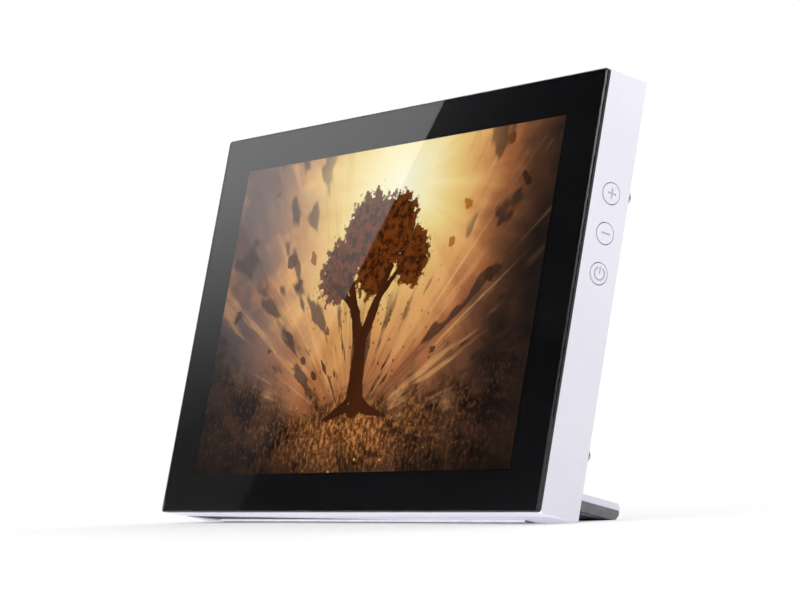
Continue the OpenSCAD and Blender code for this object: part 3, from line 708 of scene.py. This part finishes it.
def settle(piece, body, slot, *stands_for):
    """Set what a new piece rides on and hide the nodes it stands for; slot is not used."""
    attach(piece, body)
    if stands_for:
        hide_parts(*stands_for)


# Faces larger than this are flat walls, and are shaded flat right up to their rounded edges
BROAD = 150 * MM * MM


def crisp_copy(node, name, body, finish, rounds, steps=3):
    """A copy of a CAD node with its outer corners rounded as a mould or a cutter leaves them.

    rounds is a list of (radius, test): test gets the edge's two ends in panel directions.
    """
    piece = bpy.data.objects.new(name, bpy.data.objects[node].data.copy())
    bpy.context.collection.objects.link(piece)
    work(piece, "VERT", everything, bpy.ops.mesh.remove_doubles, threshold=0.001 * MM)
    work(piece, "FACE", everything, bpy.ops.mesh.dissolve_limited, angle_limit=math.radians(0.5))
    for radius, test in rounds:
        def chosen(edge):
            return crease(edge) and test(*[UPRIGHT @ v.co for v in edge.verts])
        work(piece, "EDGE", chosen, bpy.ops.mesh.bevel, offset=radius, segments=steps,
             affect="EDGES", clamp_overlap=False)
    only(piece)
    bpy.ops.object.shade_smooth_by_angle(angle=math.radians(28))
    work(piece, "FACE", lambda f: f.calc_area() > BROAD, bpy.ops.mesh.faces_shade_flat)
    dress(piece, finish)
    settle(piece, body, node, node)


# ---- the pieces ----

WHITE = colour(211, 210, 219)
WHITE_LOW = colour(207, 206, 216)
GLASS_LOW, GLASS_HIGH = upright_box("cover_glass")
CAP_LOW, CAP_HIGH = upright_box("plus_button")
CAP_FACE = CAP_HIGH.x / MM
CAP_BACK = (CAP_LOW.y + CAP_HIGH.y) / 2 / MM
HALF_W = GLASS_HIGH.x
PANEL_H = GLASS_HIGH.z
COVER_BACK = upright_box("rear_cover")[1].y
COVER_INSIDE = COVER_BACK - 1.8 * MM
# Where the plug recess starts behind the glass, and its top
RECESS_FRONT = 8.2 * MM
RECESS_TOP = 62 * MM
BUTTON_R = 4 * MM


def make_glass():
    """The cover glass: rounded corners, a ground bevel round the front and a fine one behind."""
    corner_r = 1.5 * MM
    bevel = 0.5 * MM
    back_bevel = 0.08 * MM
    seam = 0.03 * MM
    low, high = GLASS_LOW.copy(), GLASS_HIGH.copy()
    high.y -= seam
    glass = brick("front_glass", low, high)

    def round_front(edge):
        return crease(edge) and all(near(v.co.y, low.y) for v in edge.verts)

    def round_back(edge):
        return crease(edge) and all(near(v.co.y, high.y) for v in edge.verts)

    work(glass, "EDGE", runs_back, bpy.ops.mesh.bevel, offset=corner_r, segments=8, affect="EDGES")
    work(glass, "EDGE", round_front, bpy.ops.mesh.bevel, offset=bevel, segments=1, affect="EDGES")
    work(glass, "EDGE", round_back, bpy.ops.mesh.bevel, offset=back_bevel, segments=2, affect="EDGES")
    finish_mesh(glass, 20)
    lean(glass)
    dress(glass, clear_glass())
    settle(glass, "panel", "cover_glass", "cover_glass")


def make_housing():
    """The tub, with its outer rims, button holes and plug recess eased."""
    corner = 0.7 * MM
    shell_front = upright_box("main_housing")[0].y

    def outer_rim(a, b):
        on_face = near(a.y, b.y) and (near(a.y, shell_front) or near(a.y, COVER_BACK))
        outside = all(near(abs(p.x), HALF_W, corner) or p.z < corner or p.z > PANEL_H - corner
                      for p in (a, b))
        return on_face and outside

    def button_hole(a, b):
        return all(near(p.x, HALF_W) and BUTTON_R < math.dist((p.y, p.z), nearest_hole(p)) < BUTTON_R + MM
                   for p in (a, b))

    def recess_mouth(a, b):
        return all(near(p.x, -HALF_W) and p.y > RECESS_FRONT - 0.1 * MM and p.z < RECESS_TOP + 0.1 * MM
                   for p in (a, b))

    crisp_copy("main_housing", "housing_shell", "panel", moulded_plastic("satin_white", WHITE, WHITE_LOW), [
        (0.22 * MM, outer_rim), (0.15 * MM, button_hole), (0.25 * MM, recess_mouth)])


def nearest_hole(point):
    """Middle of the button hole nearest to a point, as (back, up)."""
    heights = [(box[0].z + box[1].z) / 2
               for box in map(upright_box, ("plus_button", "minus_button", "power_button"))]
    return CAP_BACK * MM, min(heights, key=lambda up: abs(up - point.z))


def make_back():
    """The rear cover, with the mouths of its pocket, notch, vents and holes eased."""
    def on_back(a, b):
        return near(a.y, COVER_BACK) and near(b.y, COVER_BACK)

    crisp_copy("rear_cover", "back_shell", "panel",
               moulded_plastic("satin_white_back", WHITE, WHITE_LOW, 0.46, 0.012), [(0.18 * MM, on_back)], 2)


def make_buttons():
    """The caps, with the rims of their ends eased."""
    for sign in ("plus", "minus", "power"):
        node = sign + "_button"
        low, high = upright_box(node)
        finish = symbol_plastic(sign + "_cap_plastic", WHITE, WHITE_LOW,
                                (low.z + high.z) / 2 / MM)

        def end_rim(a, b):
            return all(near(p.x, CAP_HIGH.x, 0.35 * MM) for p in (a, b)) and all(
                math.dist((p.y, p.z), nearest_hole(p)) > SYMBOL_REACH * MM for p in (a, b))

        crisp_copy(node, sign + "_cap", sign + "_key", finish, [(0.1 * MM, end_rim)], 2)


def make_stand():
    """The leaf's long corners and the rubber's lower edge, which the light catches."""
    end = upright_box("stand_leaf")[1].x
    ease = 0.3 * MM

    def long_corner(a, b):
        return near(a.y, b.y) and near(a.z, b.z) and abs(a.x - b.x) > 20 * MM

    def end_corner(a, b):
        return all(near(abs(p.x), end) and p.y > COVER_BACK for p in (a, b))

    def outer_corner(a, b):
        return long_corner(a, b) or end_corner(a, b)

    crisp_copy("stand_leaf", "stand_shell", "stand",
               moulded_plastic("satin_white_stand", WHITE, WHITE_LOW), [(ease, outer_corner)])
    crisp_copy("stand_pad", "stand_rubber", "stand",
               soft_rubber("grey_rubber", colour(112, 112, 114), colour(98, 98, 101)),
               [(ease, outer_corner)])


def make_foot():
    """The pale runner under the rear bottom edge, with its long lower edges eased."""
    def long_edge(a, b):
        return abs(a.x - b.x) > 50 * MM and a.z < 0

    crisp_copy("foot_strip", "foot_runner", "panel",
               soft_rubber("pale_rubber", colour(158, 158, 163), colour(146, 146, 152)),
               [(0.12 * MM, long_edge)], 2)


def lining(name, low, high, corner_r, steps, rim, sink, finish, slot):
    """A flat lining behind the cover: rounded corners, and its middle sunk inside a rim."""
    piece = brick(name, low, high)
    work(piece, "EDGE", runs_back, bpy.ops.mesh.bevel, offset=corner_r, segments=steps, affect="EDGES")
    work(piece, "FACE", lambda f: f.normal.y > 0.9, bpy.ops.mesh.inset, thickness=rim, depth=-sink)
    finish_mesh(piece)
    lean(piece)
    dress(piece, finish)
    settle(piece, "panel", slot)


def make_speaker_cloths():
    """A rounded piece of cloth over each speaker, just inside the cover's holes."""
    front, back = COVER_INSIDE - 0.17 * MM, COVER_INSIDE - 0.02 * MM
    for side, (left, right) in {"left": (-98.5, -69.5), "right": (69.5, 98.5)}.items():
        lining(side + "_speaker_cloth", (left * MM, front, 75 * MM), (right * MM, back, 89 * MM),
               2 * MM, 6, 1.2 * MM, 0.05 * MM,
               woven_cloth(side + "_cloth", colour(26, 26, 28), colour(74, 74, 78)), "speakers")


def make_vent_gauzes():
    """Dust gauze on the inside of each row of vents, held in a pressed rim."""
    front, back = COVER_INSIDE - 0.35 * MM, COVER_INSIDE - 0.05 * MM
    low, high = PANEL_H - 24 * MM, PANEL_H - 8 * MM
    for side, (left, right) in {"left": (-73, -22), "right": (22, 73)}.items():
        lining(side + "_vent_gauze", (left * MM, front, low), (right * MM, back, high),
               1.5 * MM, 5, 0.8 * MM, 0.15 * MM,
               woven_cloth(side + "_gauze", colour(18, 18, 20), colour(58, 58, 62)), "rear_cover")


def make_contacts():
    """Gold contact strips on the tongue of each plug socket."""
    finish = gold_contacts("gold_contacts")
    count = 12
    pitch = 0.5 * MM
    width = 0.25 * MM
    thick = 0.04 * MM
    length = 3.6 * MM
    inset = 1.0 * MM
    for node in ("power_inlet", "usb_port"):
        low, high = upright_box(node)
        middle = (low.z + high.z) / 2
        start = middle - (count - 1) / 2 * pitch
        tongue_back = low.y + 1.95 * MM
        tongue_front = low.y + 1.25 * MM
        for side, face in (("back", tongue_back), ("front", tongue_front - thick)):
            strips = brick(node + "_contacts_" + side, (low.x + inset, face, start - width / 2),
                           (low.x + inset + length, face + thick, start + width / 2))
            work(strips, "EDGE", crease, bpy.ops.mesh.bevel, offset=0.012 * MM, segments=1,
                 affect="EDGES")
            repeat(strips, count, (0, 0, pitch))
            finish_mesh(strips)
            lean(strips)
            dress(strips, finish)
            settle(strips, "panel", node)


def make_threads():
    """Thread crests inside each of the four inserts."""
    finish = brass("thread_brass")
    low, high = upright_box("vesa_inserts")
    reach = 2.95 * MM
    pitch = 0.7 * MM
    bore = 2.0 * MM
    crest = 0.12 * MM
    turns = 9
    places = [(x, up) for x in (low.x + reach, high.x - reach) for up in (low.z + reach, high.z - reach)]
    for number, (x, up) in enumerate(places, 1):
        bpy.ops.object.select_all(action="DESELECT")
        bpy.ops.mesh.primitive_torus_add(
            location=(x, low.y + 0.8 * MM, up), rotation=(math.pi / 2, 0, 0), major_segments=32,
            minor_segments=6, major_radius=bore, minor_radius=crest)
        ring = bpy.context.active_object
        ring.name = "insert_thread_%d" % number
        bpy.ops.object.transform_apply(location=True, rotation=True, scale=True)
        repeat(ring, turns, (0, pitch, 0))
        finish_mesh(ring, 60)
        lean(ring)
        dress(ring, finish)
        settle(ring, "panel", "vesa_inserts")


def dress_nodes():
    """Finishes for the CAD nodes that are shown as they are."""
    finishes = {
        "border_mask": black_ink(),
        "glass_gasket": matt_black("gasket_foam"),
        "lcd_cell": lit_picture(),
        "diffuser_sheet": film("diffuser_film", (0.9, 0.9, 0.87, 1)),
        "reflector_sheet": film("reflector_film", (0.88, 0.88, 0.9, 1)),
        "light_guide": clear_acrylic("guide_acrylic"),
        "led_strip": led_board(),
        "backlight_tray": sheet_steel("tray_steel"),
        "chassis_plate": sheet_steel("chassis_steel"),
        "hinge_brackets": sheet_steel("bracket_steel"),
        "mainboard": circuit_board("main_board"),
        "button_board": circuit_board("key_board"),
        "main_chip": matt_black("chip_black"),
        "board_components": small_parts(),
        "speakers": matt_black("speaker_black"),
        "button_switches": matt_black("switch_black"),
        "display_flex": flat_cable("amber_flex", colour(176, 104, 34), colour(206, 138, 60), 0),
        "button_cable": flat_cable("ribbon_white", colour(236, 234, 226), colour(176, 178, 182), 2),
        "speaker_leads": wire_pair(),
        "vesa_inserts": brass("insert_brass"),
    }
    for node in ("chassis_screws", "cover_screws", "board_screws", "hinge_screws", "hinge_pins"):
        finishes[node] = screw_steel(node + "_steel")
    for node in ("power_inlet", "usb_port", "card_slot"):
        finishes[node] = sheet_steel(node + "_steel")
    for sign in ("plus", "minus", "power"):
        finishes[sign + "_switch_stem"] = matt_black(sign + "_stem_black")
    for node, finish in finishes.items():
        bpy.data.objects[node].material_slots[0].material = finish.material


# ---- studio ----

# The eye: where it is, which ways are right and up in its view, and its lens in millimetres
EYE = Vector((0.9093, -0.6608, 0.0276))
EYE_RIGHT = Vector((0.59036, 0.80659, -0.02976))
EYE_UP = Vector((0.06152, -0.00820, 0.99807))
LENS = 125.7


def make_camera():
    """The one view of the whole frame from its right, just above the floor."""
    data = bpy.data.cameras.new("eye")
    data.lens = LENS
    data.sensor_width = 36
    data.clip_start = 0.02
    data.clip_end = 50
    camera = bpy.data.objects.new("eye", data)
    bpy.context.scene.collection.objects.link(camera)
    toward = EYE_UP.cross(EYE_RIGHT)
    turn = Matrix((EYE_RIGHT, EYE_UP, -toward)).transposed().to_4x4()
    camera.matrix_world = Matrix.Translation(EYE) @ turn
    bpy.context.scene.camera = camera


def make_floor():
    """A wide, pale, matt floor."""
    bpy.ops.object.select_all(action="DESELECT")
    bpy.ops.mesh.primitive_plane_add(size=12, location=(0, 0, 0))
    floor = bpy.context.active_object
    floor.name = "floor"
    finish = Finish("pale_floor")
    here = Value(finish, finish.node("TexCoord", {}, {}).outputs["Object"])
    cloud = finish.noise(here, 3.0, 3)
    finish.set("Base Color", finish.mix(cloud, (0.965, 0.965, 0.967, 1), (0.975, 0.975, 0.977, 1)))
    finish.set("Roughness", 0.8 + cloud * 0.1)
    dress(floor, finish)


def reflected(x, up, distance):
    """Where the eye sees, in the glass at x and up, a card that hangs distance before the glass."""
    eye = UPRIGHT @ EYE
    behind = Vector((eye.x, -eye.y, eye.z))
    point = Vector((x, 0, up))
    return behind + (point - behind) * ((distance + behind.y) / behind.y)


def card(name, corners, strength, fade):
    """A studio card that shows only in reflections.

    fade is (height of least light, height of full light, share of light at the lower one).
    """
    mesh = bpy.data.meshes.new(name)
    mesh.from_pydata([PANEL @ c for c in corners], [], [range(len(corners))])
    piece = bpy.data.objects.new(name, mesh)
    bpy.context.scene.collection.objects.link(piece)
    finish = Finish(name + "_light", Base_Color=(0, 0, 0, 1), Roughness=1.0, Specular_IOR_Level=0.0)
    if strength:
        low, high, least = fade
        up = finish.split(finish.place())[2]
        share = finish.smooth(up, low / MM, high / MM) ** 1.7
        level = finish.mix(share, (least, least, least, 1), (1.0, 1.0, 1.0, 1))
        finish.set("Emission Color", level)
        finish.set("Emission Strength", strength)
    dress(piece, finish)
    piece.visible_camera = False
    piece.visible_diffuse = False
    piece.visible_shadow = False


def upright_card(heading, distance, half_w, half_h):
    """Corners of a card square to a heading from the panel's right edge, in panel directions."""
    heading = Vector(heading).normalized()
    middle = Vector((HALF_W, 0, PANEL_H / 2)) + heading * distance
    side = heading.cross(Vector((0, 0, 1))).normalized() * half_w
    rise = side.cross(heading).normalized() * half_h
    return [middle - side - rise, middle + side - rise, middle + side + rise, middle - side + rise]


def make_cards():
    """The pale card whose slanting edge shows in the glass, and the dark one round it."""
    distance = 0.8
    # Where the pale card's edge crosses the glass's top and bottom, as (across, up)
    sheen_top = (29.5 * MM, PANEL_H)
    sheen_foot = (-66.2 * MM, 2.9 * MM)
    slope = (sheen_top[0] - sheen_foot[0]) / (sheen_top[1] - sheen_foot[1])

    def edge_at(up):
        return sheen_foot[0] + slope * (up - sheen_foot[1])

    low, high = -30 * MM, PANEL_H + 40 * MM
    wide = -HALF_W - 60 * MM
    outline = [(wide, low), (edge_at(low), low), (edge_at(high), high), (wide, high)]
    corners = [reflected(x, up, distance) for x, up in outline]
    foot = reflected(0, 0, distance).z
    head = reflected(0, PANEL_H, distance).z
    card("sheen_card", corners, 0.86, (foot, head, 0.05))
    margin = 0.35
    around = distance + 0.05
    side, bottom, top = HALF_W + margin, -0.02, PANEL_H + margin
    dark = [reflected(x, up, around) for x, up in (
        (-side, bottom), (side, bottom), (side, top), (-side, top))]
    card("dark_card", dark, 0, None)
    # On the right, a pale card ahead lights the glass's bevel and a dark one behind keeps its edge black
    card("bevel_card", upright_card((0.607, -0.766, 0.21), 1.1, 0.3, 0.3), 5.0, (0.2, 0.55, 0.25))
    card("edge_card", upright_card((0.7665, 0.607, 0.21), 1.1, 0.3, 0.35), 0, None)


def make_light():
    """A white room with two soft lamps."""
    scene = bpy.context.scene
    scene.view_settings.view_transform = "Standard"
    world = bpy.data.worlds.new("white_room")
    scene.world = world
    world.use_nodes = True
    room = world.node_tree.nodes["Background"]
    room.inputs["Color"].default_value = (1, 1, 1, 1)
    room.inputs["Strength"].default_value = 1.03
    # High on the right for the side wall, and low on the left front for the underside
    softbox("side_softbox", (0.55, 0.03, 0.3), (0.129, 0.02, 0.2), 0.2, 0.2, 0.14, 70)
    softbox("low_softbox", (-0.2, -1.1, 0.018), (-0.05, 0, 0.0), 0.6, 0.03, 18, 150)


def softbox(name, place, target, width, height, power, spread):
    """A lamp that lights but is not seen, turned towards target, with its spread in degrees."""
    data = bpy.data.lights.new(name, "AREA")
    data.shape = "RECTANGLE"
    data.size = width
    data.size_y = height
    data.energy = power
    data.spread = math.radians(spread)
    lamp = bpy.data.objects.new(name, data)
    bpy.context.scene.collection.objects.link(lamp)
    lamp.location = place
    lamp.rotation_euler = (Vector(target) - lamp.location).to_track_quat("-Z", "Y").to_euler()
    lamp.visible_camera = False
    lamp.visible_glossy = False


make_camera()
make_glass()
make_housing()
make_back()
make_buttons()
make_stand()
make_foot()
make_speaker_cloths()
make_vent_gauzes()
make_contacts()
make_threads()
dress_nodes()
make_floor()
make_cards()
make_light()
